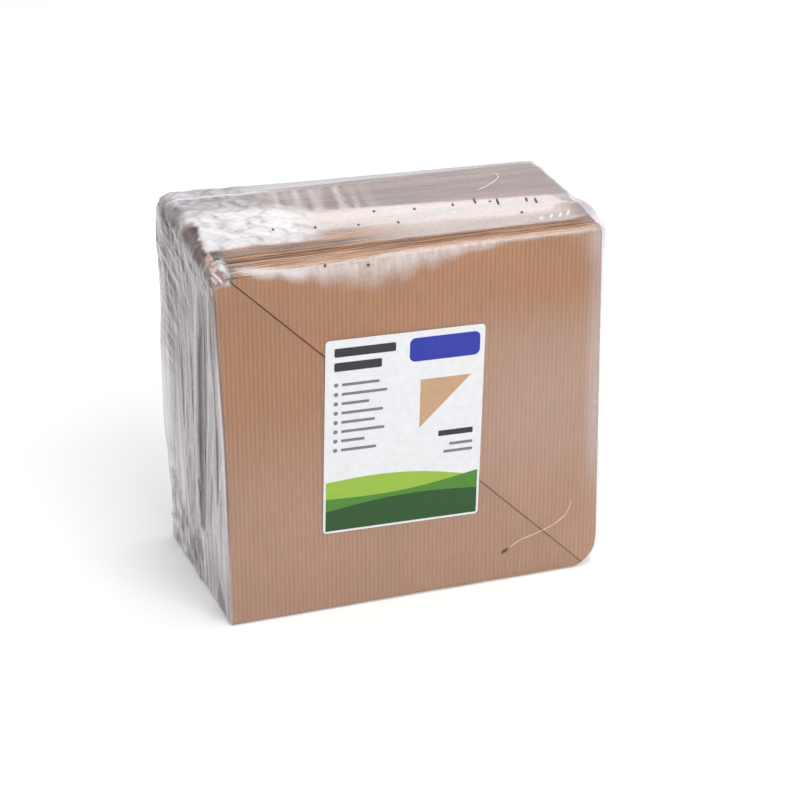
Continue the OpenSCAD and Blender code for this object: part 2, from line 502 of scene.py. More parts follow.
def press(x, z, y):
    """Keeps an outline at depth y inside the film, as the film blunts and rounds the stack."""
    front_gap, back_gap = y - FRONT, BACK - y
    back_in = pull_in(BACK_UPRIGHT_R, back_gap)
    reach = {
        side: HALF_W - PAPER_CLEAR - pull_in(radius, front_gap) - back_in
        for side, radius in ((-1, FRONT_LEFT_R), (1, FRONT_RIGHT_R))
    }

    def roof(at):
        drop = pull_in(top_front_r(at), front_gap) + pull_in(TOP_BACK_R, back_gap)
        return top_z(at) + crown(y) - PAPER_CLEAR - drop

    foot = PAPER_CLEAR + pull_in(BOTTOM_EDGE_R, min(front_gap, back_gap))
    x = np.clip(x, -reach[-1], reach[1])
    z = np.clip(z, foot, roof(x))
    for side, up, radius in CORNERS:
        bend = radius - PAPER_CLEAR
        centre_x = side * (reach[side] - bend)
        centre_z = roof(side * HALF_W) - bend if up > 0 else foot + bend
        u, w = (x - centre_x) * side, (z - centre_z) * up
        away = np.hypot(u, w)
        beyond = (u > 0) & (w > 0) & (away > bend)
        share = np.where(beyond, bend / np.maximum(away, 1e-6), 1.0)
        x = np.where(beyond, centre_x + side * u * share, x)
        z = np.where(beyond, centre_z + up * w * share, z)
    return x, z


class SheetMesh:
    """Gathers the sheets of a stack into one mesh, with each point's own tone and the painted shade on
    it.
    """

    def __init__(self):
        self.points, self.faces, self.tones = [], [], []

    def sheet(self, x, z, y, thick, tones):
        count, start = len(x), len(self.points)
        for side in (-0.5, 0.5):
            depth = np.full(count, y + side * thick)
            self.points.extend(np.column_stack((x, depth, z)).tolist())
        self.faces.extend(prism_faces(start, count))
        self.tones.extend(np.tile(tones, 2).tolist())


def slit_shade(x, z):
    """1 in the slit at the seam's open end, where the sheets get painted shade, 0 away from it."""
    return smooth(3.0, 1.4, np.abs(x - SLIT_X)) * smooth(SLIT_FOOT, SLIT_FOOT + 3, z)


def bundle_jog(bundle, angle):
    """How far a bundle's edge stands back."""
    return (BUNDLE_JOG if bundle else FRONT_JOG) * (0.5 + 0.5 * math.sin(math.radians(angle)))


def stack_sheets(name, upper):
    """One stack of flat cones, sheet by sheet, in counted bundles."""
    rng = np.random.RandomState(11 if upper else 5)
    jog_start = 205 if upper else 40
    # How much of each leg's tip the film blunts
    cuts = (4.6, 1.5) if upper else (1.5, 1.0)
    bend = 0.0 if upper else TIP_BEND
    turn = -1 if upper else 1
    corner = np.array([-HALF_W + EDGE_BACK, EDGE_BACK])
    if upper:
        corner = np.array([HALF_W - EDGE_BACK, RIGHT_H - EDGE_BACK])
    stack = SheetMesh()
    for bundle, (first, last) in enumerate(zip(BUNDLE_ENDS, BUNDLE_ENDS[1:])):
        set_x = bundle_jog(bundle, jog_start + JOG_TURN_X * bundle)
        set_z = bundle_jog(bundle, jog_start + JOG_LEAD_Z + JOG_TURN_Z * bundle)
        sheets = round((last - first - BUNDLE_GAP) / SHEET_PITCH)
        pitch = (last - first - BUNDLE_GAP) / sheets
        bundle_y = FRONT + (PACK_D - STACK_D) / 2 + first + BUNDLE_GAP / 2
        bundle_tone = rng.uniform(0.95, 1.03)
        for sheet in range(sheets):
            y = bundle_y + pitch * (sheet + 0.5)
            shift = np.abs(rng.normal(0, 0.16, 2))
            outline = cone_outline(
                set_x + shift[0], set_z + shift[1], cuts, turn * SEAM_SHIFT, bend, rng,
            )
            placed = corner + turn * outline + (0, crown(y) if upper else 0)
            x, z = press(placed[:, 0], placed[:, 1], y)
            step = np.hypot(x - np.roll(x, 1), z - np.roll(z, 1))
            x, z = x[step > 0.02], z[step > 0.02]
            slit = slit_shade(x, z) if bundle or sheet else 0 * x
            tone = bundle_tone * rng.uniform(0.9, 1.06)
            # The last sheet of each bundle and the sheet at the shade line's depth get painted shade of
            # the gaps between bundles
            if sheet == sheets - 1 or abs(y - FRONT - SHADE_LINE_DEPTH) < 0.3:
                tone *= GAP_SHADE_TONE
            stack.sheet(x + lean(y), z, y, pitch * SHEET_SHARE, tone * (1 - SLIT_PAINTED_SHADE * slit))
    made = new_mesh(name, settle(stack.points), stack.faces, False)
    point_values(made, tone=stack.tones)
    return made


# Film


def axis_marks(*zones):
    """Places of the film's mesh lines along one axis, from (start, end, step) zones."""
    marks = [np.linspace(a, b, max(2, round((b - a) / step) + 1)) for a, b, step in zones]
    marks = np.sort(np.concatenate(marks))
    return marks[np.concatenate(([True], np.diff(marks) > 0.15))]


def box_lattice(axes):
    """Points and outward quads on the surface of a box."""
    count = tuple(len(marks) for marks in axes)
    index = np.full(count, -1)
    skin = np.zeros(count, bool)
    for axis in range(3):
        for end in (0, -1):
            cut = [slice(None)] * 3
            cut[axis] = end
            skin[tuple(cut)] = True
    index[skin] = np.arange(skin.sum())
    places = np.nonzero(skin)
    points = np.column_stack([axes[n][places[n]] for n in range(3)])
    quads = []
    for axis in range(3):
        for end in (0, count[axis] - 1):
            face = np.take(index, end, axis=axis)
            ring = (face[:-1, :-1], face[1:, :-1], face[1:, 1:], face[:-1, 1:])
            flip = (end == 0) != (axis == 1)
            quads.append(np.stack(ring[::-1] if flip else ring, -1).reshape(-1, 4))
    return points, np.vstack(quads)


def round_corner(a, b, a_edge, a_way, b_edge, b_way, radius):
    """Bends the square corner between two axes into an arc."""
    a_mid, b_mid = a_edge - a_way * radius, b_edge - b_way * radius
    u, w = (a - a_mid) * a_way / radius, (b - b_mid) * b_way / radius
    inside = (u > 0) & (w > 0)
    share = np.where(inside, np.maximum(u, w) / np.maximum(np.hypot(u, w), 1e-9), 1.0)
    return (
        np.where(inside, a_mid + a_way * radius * u * share, a),
        np.where(inside, b_mid + b_way * radius * w * share, b),
    )


def round_block(points):
    """Rounds the edges and corners of the block of film, in place."""
    x, y, z = points.T
    for way, edge in ((-1, FRONT), (1, BACK)):
        top_r = top_front_r(x) if way < 0 else np.full(len(x), TOP_BACK_R)
        y, z = round_corner(y, z, edge, way, LEFT_H, 1, top_r)
        y, z = round_corner(y, z, edge, way, 0.0, -1, BOTTOM_EDGE_R)
    for side, front_r in ((-1, FRONT_LEFT_R), (1, FRONT_RIGHT_R)):
        x, y = round_corner(x, y, side * HALF_W, side, FRONT, -1, front_r)
        x, y = round_corner(x, y, side * HALF_W, side, BACK, 1, BACK_UPRIGHT_R)
    for side, up, radius in CORNERS:
        x, z = round_corner(x, z, side * HALF_W, side, LEFT_H if up > 0 else 0.0, up, radius)
    return np.column_stack((x, y, z))


def point_normals(points, quads):
    a, b, c, d = (points[quads[:, n]] for n in range(4))
    face = np.cross(c - a, d - b)
    total = np.zeros_like(points)
    for n in range(4):
        np.add.at(total, quads[:, n], face)
    return total / np.maximum(np.linalg.norm(total, axis=1), 1e-9)[:, None]


def facing_shares(normals):
    """Shares of each point that face along x, y and z, and against them."""
    return np.clip(normals, 0, 1) ** 2, np.clip(-normals, 0, 1) ** 2


# Folds of the left end. A path runs down the end as (height, depth behind the front, half width).
# Shaded folds have a whiteness that paints their shade and dark reflection on the flat film; bright ones
# stand out by a height, are drawn as fins too, and get a painted highlight.
PAINTED_SHADE_FOLDS = (
    (0.0, (
        (166, 16, 1), (158, 16.5, 4), (152, 17.5, 6.5), (145, 20, 7.2), (136, 23.5, 7.2),
        (110, 28, 7.4), (92, 30.5, 7.6), (76, 33, 7.6), (61.6, 35.5, 7), (46, 38.5, 5.5), (36, 39.5, 3),
    )),
    (0.12, ((132, 37, 0.6), (118, 39, 2.2), (100, 41.5, 2.4), (88, 43.5, 1.6), (78, 45, 0.6))),
    (0.12, ((114, 3.5, 0.6), (98, 5.6, 1.6), (83, 8.1, 1.6), (64, 10.5, 0.6))),
    (0.2, ((74, 18.5, 0.4), (69, 19.6, 1.0), (50.4, 23.6, 1.0), (44, 25, 0.4))),
    (0.1, ((76, 45.2, 0.4), (70, 46.2, 1.2), (64, 47.2, 0.4))),
    (0.35, ((66, 50, 0.6), (52, 52.5, 2.5), (40, 54.5, 0.6))),
    (0.0, ((180, 18.5, 0.4), (170, 18.6, 0.9), (160, 19, 1.2))),
    (0.05, ((179, 11.2, 0.4), (170, 11, 1.0), (164, 10.8, 1.2), (152, 11, 0.4))),
    (0.05, ((168, 7, 0.4), (152, 5.5, 1.3), (138, 5, 0.9), (124, 5, 0.4))),
    (0.2, ((151, 44.5, 0.4), (140, 46.5, 1.1), (130, 48.5, 0.5))),
    (0.0, ((191, 70, 0.8), (188.5, 67, 1.7), (186, 58, 1.5), (184, 54, 0.5))),
    (0.1, ((179, 43.3, 0.4), (177, 38, 0.9), (175, 33, 0.4))),
    (0.1, ((166.5, 73.4, 0.4), (164, 66, 0.9), (162, 58, 0.4))),
    (0.1, ((178, 69.5, 0.8), (175, 66, 1.2))),
    (0.15, ((190, 80, 0.9), (183, 79, 0.9))),
    (0.15, ((185, 88, 0.9), (176, 87.5, 1.1))),
    (0.1, ((27, 72.5, 0.6), (20, 75, 2.0), (14, 77.3, 1.0))),
    (0.15, ((16, 16, 1), (6, 14.5, 6), (0, 13, 6))),
    (0.05, ((26, 52, 0.4), (17, 57, 1.2), (9, 54, 0.4))),
    (0.05, ((19, 63, 0.4), (13, 60, 1.2), (8, 56, 0.4))),
    (0.05, ((28, 45, 0.4), (18, 43.5, 1.1), (9, 42, 0.4))),
)
BRIGHT_FOLDS = (
    (1.5, (
        (172, 25, 0.7), (154, 28, 0.9), (140, 31, 1), (110, 35.5, 1.1), (90, 38.5, 1.1),
        (74.5, 40, 1.1), (57, 42.5, 1), (41, 46.5, 1), (34, 44, 0.8), (30, 42, 0.7),
    )),
    (1.1, (
        (124, 12, 0.6), (101, 16.5, 0.8), (84, 21.5, 0.9), (66, 24, 0.9), (51, 27, 0.9),
        (38, 31.5, 0.7),
    )),
    (0.9, (
        (112, 46, 0.6), (84, 51.5, 0.8), (75, 54, 0.8), (64, 60.5, 0.8), (52, 65.5, 0.8), (42, 62, 0.8),
        (31, 62.5, 0.8), (23.5, 59.4, 0.6),
    )),
    (0.7, ((128, 54, 0.5), (100, 57.5, 0.7), (79, 61.5, 0.7), (52, 66, 0.5))),
    (0.7, (
        (112, 8, 0.5), (98.7, 10.3, 0.7), (80.4, 14.5, 0.7), (69, 11.5, 0.7), (55.5, 14, 0.7),
        (41, 18, 0.5),
    )),
    (0.6, ((88, 1.2, 0.5), (77.7, 2.9, 0.7), (58.5, 8.5, 0.7), (42.6, 15.6, 0.5))),
    (0.6, ((136, 46, 0.6), (117, 48.8, 0.8), (98, 50.7, 0.6))),
    (0.7, ((176, 6, 0.5), (150, 9, 0.7), (128, 8, 0.5))),
)
# Knots where folds run together: depth behind the front, height and size
KNOTS = ((89, 16, 3.6), (59.5, 22, 2.0), (43, 28.5, 2.2), (32.5, 36.5, 2.4), (84, 178, 2.6))


def stroke(depth, z, path, soft):
    """1 along a fold's path on the left end, 0 away from it."""
    outside = np.full_like(depth, 99.0)
    for (z_a, d_a, half_a), (z_b, d_b, half_b) in zip(path, path[1:]):
        run, rise = d_b - d_a, z_b - z_a
        t = np.clip(((depth - d_a) * run + (z - z_a) * rise) / (run ** 2 + rise ** 2), 0, 1)
        away = np.hypot(depth - d_a - t * run, z - z_a - t * rise)
        outside = np.minimum(outside, away - half_a - t * (half_b - half_a))
    return 1 - smooth(-soft, soft, outside)


def high_back(depth, z):
    """1 high up and towards the back of the left end, 0 away from there."""
    return smooth(128, 165, z) * smooth(26, 60, depth)


def crumpled(depth, z):
    """Where the left end is crumpled: high up and low down, most of all towards the back."""
    high = high_back(depth, z) + smooth(168, 182, z)
    low = smooth(46, 22, z) * smooth(34, 50, depth)
    low += smooth(75, 40, z) * smooth(70, 84, depth)
    return np.clip(high + low, 0, 1)


def end_facets(y, z):
    """Crumples of the left end, as facets."""
    return facets(y, z * 0.6, 31, 7)


def knot_creases(y, z):
    """Fine creases of the knots on the left end."""
    return creases(y / 2.5, z / 2.5, 37)


def left_relief(y, z):
    """Height of the film on the left end: slack, swells under the folds, crumples and knots."""
    depth = y - FRONT
    rise = 0.5 * value_noise(y / 9, z / 70, 33)
    rise += 1.9 * smooth(60, 88, depth) * smooth(25, 65, z)
    rise += 1.2 * smooth(58, 85, depth) * smooth(45, 75, z) * smooth(140, 110, z)
    rise += 1.7 * crumpled(depth, z) * end_facets(y, z)
    for height, path in BRIGHT_FOLDS:
        rise += 0.5 * height * stroke(depth, z, path, 2.0)
    for knot_depth, knot_z, size in KNOTS:
        away = np.hypot((depth - knot_depth) / size, (z - knot_z) / size)
        knot = 0.8 * size * np.clip(1.4 - away, 0, 1) * (0.5 + 0.7 * knot_creases(y, z))
        rise = np.maximum(rise, knot)
    return rise


def plain_white(y, z):
    """Whiteness of the left end between its folds, darker higher up, lighter towards the back, darker
    low at the front and high further back: painted reflection and shade of the film.
    """
    depth = y - FRONT
    white = 0.74 - 0.1 * smooth(50, 95, z) - 0.18 * smooth(138, 152, z) + 0.16 * smooth(66, 74, depth)
    white += 0.16 * (value_noise(y / 4, z / 60, 81) - 0.5)
    white -= 0.12 * smooth(34, 14, z) * smooth(52, 40, depth)
    return white - 0.22 * smooth(112, 138, z) * smooth(38, 54, depth)


def left_cover(y, z):
    """How covered, white, slant-streaked and pleated the film is over the left end; its whiteness
    carries painted reflection and shade of the folds, crumples and knots, and a painted shadow under the
    top edge.
    """
    depth = y - FRONT
    cover, folded = np.full_like(y, 0.9), np.zeros_like(y)
    net = smooth(62, 70, depth) * smooth(100, 118, z)
    high = np.clip(high_back(depth, z) + smooth(172, 184, z), 0, 1)
    slant = np.maximum(0.9 * high, 0.6 * net)
    low = np.clip(crumpled(depth, z) - high, 0, 1)
    # Crumpled parts get painted shade and highlight from their facets and fold lines
    facet_shading = 0.4 + 0.8 * end_facets(y, z) - 0.3 * fold_lines(y, z * 0.55, 35, 6, 1.8)
    facet_shading += 0.4 * (value_noise(y / 3, z / 7, 39) - 0.5)
    white = towards(plain_white(y, z), facet_shading, 0.85 * low)
    # Painted shadow of the folded film under the top left edge
    rim_shade = smooth(184.5, 188.5, z + 4 * (value_noise(y / 4, z / 9, 82) - 0.5))
    rim_shade *= smooth(8, 16, depth) * smooth(58, 46, depth)
    white = towards(white, 0.08, rim_shade)
    slant *= 1 - 0.75 * rim_shade
    # Painted shade and dark reflection along the shaded folds
    for level, path in PAINTED_SHADE_FOLDS:
        dark = stroke(depth, z, path, 1.3)
        white = towards(white, level, dark)
        slant *= 1 - 0.8 * dark
        folded = np.maximum(folded, dark)
    # Bright folds are whitened along their path as a painted highlight
    for _, path in BRIGHT_FOLDS:
        bright = stroke(depth, z, path, 1.0)
        white = towards(white, 0.95, bright)
        slant *= 1 - bright
    # Knots get painted highlight and shade on their creases
    for knot_depth, knot_z, size in KNOTS:
        near = 1 - smooth(0.4, 1.0, np.hypot(depth - knot_depth, z - knot_z) / size)
        white = towards(white, 0.55 + 0.45 * knot_creases(y, z), near)
    pleat = 0.5 + 0.5 * smooth(9, 24, depth) - 0.35 * smooth(68, 80, depth)
    pleat *= (1 - high) * (1 - 0.6 * folded)
    return cover, np.clip(white, 0, 1), slant, pleat


def fin_paths(rng):
    """Height, depth, rise, cover and whiteness along each fin of film on the left end; the bright folds'
    fins are fully white as a painted highlight.
    """
    for rise, path in BRIGHT_FOLDS:
        height, middle, _ = np.array(path[::-1]).T
        z = np.linspace(height[0], height[-1], 60)
        eased = np.convolve(np.pad(np.interp(z, height, middle), 5, "edge"), np.ones(11) / 11, "valid")
        yield z, eased, rise, 0.95, 1.0
    for n in range(14):
        low = rng.uniform(20, 110)
        z = np.linspace(low, low + rng.uniform(30, 70), 40)
        depth = rng.uniform(5, 95) - rng.uniform(0.02, 0.16) * (z - low)
        yield z, depth, rng.uniform(0.25, 0.6), 0.85, rng.choice([0.35, 0.7, 1.0])


# Cross-section of a fin: place across it and height, both in shares of its size
FIN_SECTION = (
    (-0.75, -0.5), (-0.3, 0.2), (-0.12, 0.86), (0.0, 1.0), (0.12, 0.86), (0.3, 0.2), (0.75, -0.5),
)


def film_gathers():
    """Thin folds of film that stand on the left end."""
    rng = np.random.RandomState(29)
    points, faces, haze, white = [], [], [], []
    count = len(FIN_SECTION)
    for heights, depths, rise, cover, glow in fin_paths(rng):
        tip, wobble, start = rng.uniform(-0.8, 0.5), rng.uniform(0, 6.3), len(points)
        ground = left_relief(FRONT + depths, heights)
        along = np.linspace(0, 1, len(heights))
        for u, z, depth, base in zip(along, heights, depths, ground):
            tall = rise * math.sin(math.pi * u) ** 0.4 * (1 + 0.15 * math.sin(14 * u + wobble)) + 0.02
            for across, up in FIN_SECTION:
                y = FRONT + depth + across * min(1, 0.4 + tall / 2) + tip * tall / 2 * max(up, 0) ** 2
                out = base + tall * up if up > 0 else base + up * 0.4
                points.append((-HALF_W + lean(y) - out, y, z))
                haze.append(cover)
                # Whiter towards the crest: painted highlight
                white.append(glow * (0.7 + 0.3 * max(up, 0)))
        rings = len(heights)
        faces.extend(ring_faces(start, rings, count))
        faces.append([start + k for k in range(count)])
        faces.append([start + (rings - 1) * count + k for k in reversed(range(count))])
    made = new_mesh("film_gathers", settle(points), faces, True)
    point_values(made, haze=haze, white=white, streak=np.zeros(len(haze)))
    return made


# The weld bead, and the depth of the ear that stands at the right end's top
BEAD_H = 0.4
BEAD_HALF = 0.9
EAR_Y = -28


def bead(y):
    """Height of the weld bead, which runs round the pack."""
    return BEAD_H * np.clip(1 - np.abs(y - WELD_Y) / BEAD_HALF, 0, 1)


def top_facets(x, y):
    """Crumples of the top's left third, as facets."""
    return facets(x, y, 41, 11)


def top_relief(x, y):
    """Height of the film over the top: a low crown, the bead, an ear, and crumples on the left third."""
    left = smooth(-30, -80, x) * smooth(18, 28, y - FRONT)
    ear = 3.4 * np.exp(-((x - 96) / 7) ** 2 - ((y - EAR_Y) / 14) ** 2)
    ripple = 0.012 * value_noise(x / 9, y / 14, 45)
    return crown(y) + bead(y) + ear + 1.6 * left * top_facets(x, y) + ripple


def front_relief(x, z):
    """Height of the film over the front: flat, but drawn into small upright streaks at the top."""
    streaks = smooth(165, 188, z) * smooth(60, -10, x)
    return 0.35 * streaks * creases(x / 4, z / 30, 51)


def right_relief(y, z):
    """Height of the film on the right end: shallow upright folds, slack low down, a tent at the top."""
    folds = 0.6 * creases(y / 12, z / 70, 61) * smooth(10, 50, z)
    slack = 1.3 * smooth(80, 40, z) + 0.6 * smooth(130, 165, z)
    tent = 2.2 * np.exp(-((z - 186) / 9) ** 2 - ((y - EAR_Y) / 15) ** 2)
    return folds + bead(y) + slack + tent


def back_relief(x, z):
    return 0.25 * creases(x / 40, z / 34, 71)


def top_cover(x, y):
    """How covered and how white the top is: clear in front, white on the left, milky with painted
    reflection and crease shade, and mauve behind, a painted reflection of a darker background.
    """
    depth = y - FRONT
    ragged = 10 * (value_noise(y / 9, x / 20, 87) - 0.5)
    west = 1 - smooth(-52, -26, x + ragged + 16 * smooth(54, 70, depth))
    west *= smooth(19, 22.5, depth + 2 * (value_noise(x / 7, y / 30, 86) - 0.5))
    # Mauve behind: painted reflection of a darker background
    behind = smooth(-1.8, 1.8, depth - np.interp(x, (-30, 98), (54, 42)))
    cover = 0.04 + smooth(10, 13, depth) * (0.1 + 0.42 * smooth(-40, 20, x))
    cover += 0.3 * smooth(24, 32, depth) * smooth(20, -40, x)
    cover = towards(towards(cover, 0.66, behind), 0.95, west)
    white = 1.0 - 0.5 * behind + 0.1 * behind * (value_noise(x / 30, y / 1.3, 79) - 0.5)
    stripes = value_noise((x - 0.17 * y) / 2.6, y / 45, 89) - 0.35
    stripes *= smooth(-60, -40, x) * smooth(8, -12, x)
    white += 0.7 * stripes * behind * smooth(0.5, -1.5, y - WELD_Y)
    # Crumpled left third: painted crease shade, darker towards the back
    crease_shading = 1.25 - 0.42 * smooth(56, 76, depth) - 0.12 * fold_lines(x, y, 43, 12, 1.4)
    crease_shading -= 0.3 * (1 - top_facets(x, y)) + 0.45 * creases(x / 7, y / 8, 47) ** 2
    white = towards(white, crease_shading, west)
    # Painted shade along the top's left edge, where the film folds over
    edge = np.interp(depth, (8, 24, 60), (2.0, 3.6, 7.0)) + 3 * (value_noise(y / 3, x / 6, 84) - 0.5)
    rim_shade = smooth(8, 14, depth) * smooth(58, 48, depth)
    rim_shade *= smooth(0.8, -0.8, x + HALF_W - edge)
    weld = np.clip(1.4 - np.abs(y - WELD_Y), 0, 1) * (1 - 0.8 * smooth(-60, -20, x))
    cover = towards(towards(cover, 0.9, rim_shade), 0.9, 0.8 * weld)
    return cover, towards(white - white * 0.95 * rim_shade, 1, weld)


# Upper and lower border of the pale glow under the top front edge, along x: a painted highlight where
# the film tents over the edge
GLOW_X = (-97, -89, -85, -80, -66, -58, -44, -23, -9, 10, 24, 40, 50, 98)
GLOW_TOP = (1.5, 1.5, 1.5, 1.5, 3.2, 4, 3.3, 3, 1.5, 1, 0.5, 0.3, 0.2, 0.1)
GLOW_FOOT = (0.1, 0.1, 3, 4.8, 6.4, 8, 11, 13.5, 12.5, 8.5, 6.5, 4, 2.5, 2)


def front_cover(x, z):
    """How covered, how white and how streaked the front is, with a painted highlight under the top edge
    and along the left lap, and a painted shadow line beside the lap.
    """
    below = LEFT_H - z
    tall = np.interp(x, GLOW_X, GLOW_FOOT) * (0.8 + 0.4 * value_noise(x / 5, z / 60, 83))
    soft = smooth(-60, -38, x)
    # Painted highlight under the top front edge
    glow = smooth(1.35 + 0.2 * soft, 0.5 - 0.35 * soft, below / tall)
    glow *= smooth(-0.9, 0.9, below - np.interp(x, GLOW_X, GLOW_TOP))
    cover = 0.01 + 0.14 * smooth(-20, 60, x) * smooth(40, 110, z) * smooth(165, 128, z)
    cover += 0.09 * smooth(130, 60, z)
    # Paler veil on the rounded right edge and its top: painted reflection
    cover += 0.24 * smooth(86, 95, x) * smooth(20, 80, z)
    cover += 0.15 * smooth(78, 95, x) * smooth(168, 186, z)
    cover = towards(cover, 0.88 - 0.14 * soft, glow)
    inward = x + HALF_W
    # Film lapped round the left edge, whitened as a painted highlight, with a painted shadow line beside
    # it on the paper
    lap = 0.5 + 0.9 * np.exp(-((z - 100) / 48) ** 2)
    lap_highlight = smooth(lap + 0.3, lap - 0.4, inward)
    shadow = smooth(lap - 0.1, lap + 0.4, inward) * smooth(lap + 1.6, lap + 0.7, inward)
    shadow *= smooth(20, 60, z) * smooth(187, 174, z)
    cover = towards(cover, 0.9, lap_highlight) + 0.6 * shadow
    return cover, 0.88 + 0.12 * glow + 0.1 * lap_highlight - 0.85 * shadow, glow * 0.35 * soft


def film_cover(points, normals):
    """Values of the film at each point, in the order of FILM_VALUES."""
    x, y, z = points.T
    share, other = facing_shares(normals)
    on_left, on_front, on_top, on_right = other[:, 0], other[:, 1], share[:, 2], share[:, 0]
    rest = np.clip(1 - on_left - on_front - on_top, 0, 1)
    end, top, front = left_cover(y, z), top_cover(x, y), front_cover(x, z)
    cover = on_left * end[0] + on_top * top[0] + on_front * front[0]
    upright = (0.3 + 0.2 * value_noise(y / 6, z / 50, 88)) * (0.6 + 0.4 * smooth(15, 70, z))
    cover += on_right * upright + share[:, 1] * 0.06 + other[:, 2] * 0.2
    bent = smooth(0.03, 0.3, 1 - np.abs(normals).max(axis=1))
    cover += 0.15 * bent * smooth(0.2, 0.5, normals[:, 0] + normals[:, 1])
    white = on_left * end[1] + on_top * top[1] + on_front * front[1] + rest * 0.85 - on_right * 0.25
    tent = np.exp(-((y - EAR_Y) / 17) ** 2) * smooth(176, 188, z) * smooth(84, 95, x)
    cover, white = towards(cover, 0.6, tent), towards(white, 0.5, tent)
    # Crumples at the front top left corner, whitened on their creases as a painted highlight
    corner = smooth(-87, -92, x) * smooth(181.5, 185, z) * smooth(16, 10, y - FRONT)
    lace = creases((x + y) / 1.8, (z - y) / 2.2, 91)
    cover = np.clip(towards(cover, 0.25 + 0.75 * lace, corner), 0, 0.97)
    white = np.clip(towards(white, 1.5 * lace, corner), 0, 1)
    return cover, white, on_front * front[2], on_left * end[2], on_left * end[3]


# Needle vents: place along x and depth or height, and half length of the slit that they tore
TOP_VENTS = (
    (-56.3, -13.9, 1.1), (-35.9, -16, 1.3), (-2.9, -4.7, 1.3), (17.1, -7.1, 1.4), (36.9, -7.1, 1.5),
    (48.9, -5.1, 3.6), (59.6, -8.9, 4.2), (74.2, -10.2, 2.6), (78.3, -12.5, 3.4), (66.6, -24.4, 1.3),
    (56, -7.8, 0.8), (-15, -18.5, 0.9), (4.5, -20.5, 1.2),
)
FRONT_VENTS = ((-41.0, 186.9), (-19.9, 184.3))
# Ways along and across the slits on the top, the vents on the front, and a tear low on the front
TOP_WAYS = ((0.18, 0.98, 0), (-0.98, 0.18, 0))
FRONT_WAYS = ((0, 0, 1), (-1, 0, 0))
TEAR_WAYS = ((0.86, 0, 0.51), (-0.51, 0, 0.86))


def film_skin():
    """The shrunk film, one closed skin with its folds, crumples and weld."""
    weld_marks = (WELD_Y - BEAD_HALF, WELD_Y + BEAD_HALF, BEAD_HALF / 2)
    axes = (
        axis_marks(
            (-HALF_W, -86, 0.7), (-86, -30, 1.15), (-30, HALF_W - 12, 2.0), (HALF_W - 12, HALF_W, 0.7),
        ),
        axis_marks(
            (FRONT, FRONT + 10, 0.7), (FRONT + 10, BACK - 10, 1.0), (BACK - 10, BACK, 0.7), weld_marks,
        ),
        axis_marks((0, 30, 1.2), (30, 158, 2.8), (158, LEFT_H, 0.8)),
    )
    points, quads = box_lattice(axes)
    points = round_block(points)
    normals = point_normals(points, quads)
    x, y, z = points.T
    share, other = facing_shares(normals)
    rise = other[:, 0] * left_relief(y, z) + share[:, 0] * right_relief(y, z)
    rise += other[:, 1] * front_relief(x, z) + share[:, 1] * back_relief(x, z)
    rise += share[:, 2] * top_relief(x, y)
    cover = film_cover(points, normals)
    points = points + normals * rise[:, None]
    points[:, 2] *= top_z(points[:, 0]) / LEFT_H
    points[:, 2] = np.maximum(points[:, 2], 0)
    points[:, 0] += lean(points[:, 1])
    made = new_mesh("film_skin", settle(points), quads.tolist(), True)
    point_values(made, **dict(zip(FILM_VALUES, cover)))
    return made


class Rims:
    """Gathers the small shrunk rims of the vents into one mesh."""

    def __init__(self):
        self.points, self.faces = [], []

    def ring(self, centre, along, across, half_along, half_across, thick=0.4, steps=16, sides=6):
        start = len(self.points)
        centre, along, across = (np.asarray(v, float) for v in (centre, along, across))
        out = np.cross(along, across)
        for n in range(steps):
            a = 2 * math.pi * n / steps
            way = math.cos(a) * along + math.sin(a) * across
            mid = centre + half_along * math.cos(a) * along + half_across * math.sin(a) * across
            for k in range(sides):
                b = 2 * math.pi * k / sides
                self.points.append(mid + thick * (math.cos(b) * way + math.sin(b) * out))
        self.faces.extend(ring_faces(start, steps, sides, closed=True))


def film_top(film, x, y):
    """Height of the film's top near a place."""
    points = np.empty(len(film.data.vertices) * 3)
    film.data.vertices.foreach_get("co", points)
    points = points.reshape(-1, 3) / MM
    away = np.hypot(points[:, 0] - x, points[:, 1] - y) + (points[:, 2] < RIGHT_H - 20) * 1e3
    return points[np.argmin(away), 2]


# Dark rims round the vents and the tear: a shrunk burnt bead, darkened further as painted shade of the
# hole
def vent_rims(film):
    made = Rims()
    for x, y, half in TOP_VENTS:
        made.ring((x, y, film_top(film, x, y)), *TOP_WAYS, half - 0.35, 0.3)
    for x, z in FRONT_VENTS:
        made.ring((x, FRONT - 0.05, z), *FRONT_WAYS, 0.4, 0.35)
    made.ring((51.9, FRONT - 0.1, 17.0), *TEAR_WAYS, 1.8, 0.35, 0.35)
    return new_mesh("vent_rims", forward(made.points), made.faces, True)


# Label

LABEL_W = 81.0
LABEL_H = 104.0
LABEL_R = 2.0
LABEL_TURN = 1.5
INK_T = 0.03
LABEL_LOW, LABEL_HIGH = (np.array(corner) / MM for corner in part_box("label"))
LABEL_MID = (LABEL_LOW + LABEL_HIGH) / 2
INK_COLOURS = {
    "label_white": (231, 232, 235), "label_lime": (150, 186, 60), "label_leaf": (70, 132, 36),
    "label_fir": (20, 74, 14), "label_blue": (26, 44, 160), "label_black": (38, 38, 42),
    "label_grey": (120, 120, 124), "label_kraft": (196, 158, 122),
}

# Print, counted right and up from the label's middle.
# Fields across the foot: height of the top at its left and right end, its bulge, and the ink.
HILLS = ((-24, -30, 4, "label_lime"), (-33, -27, -3, "label_leaf"), (-40, -37, 3, "label_fir"))
HILL_FOOT = -50.8
HILL_INSET = 1.2
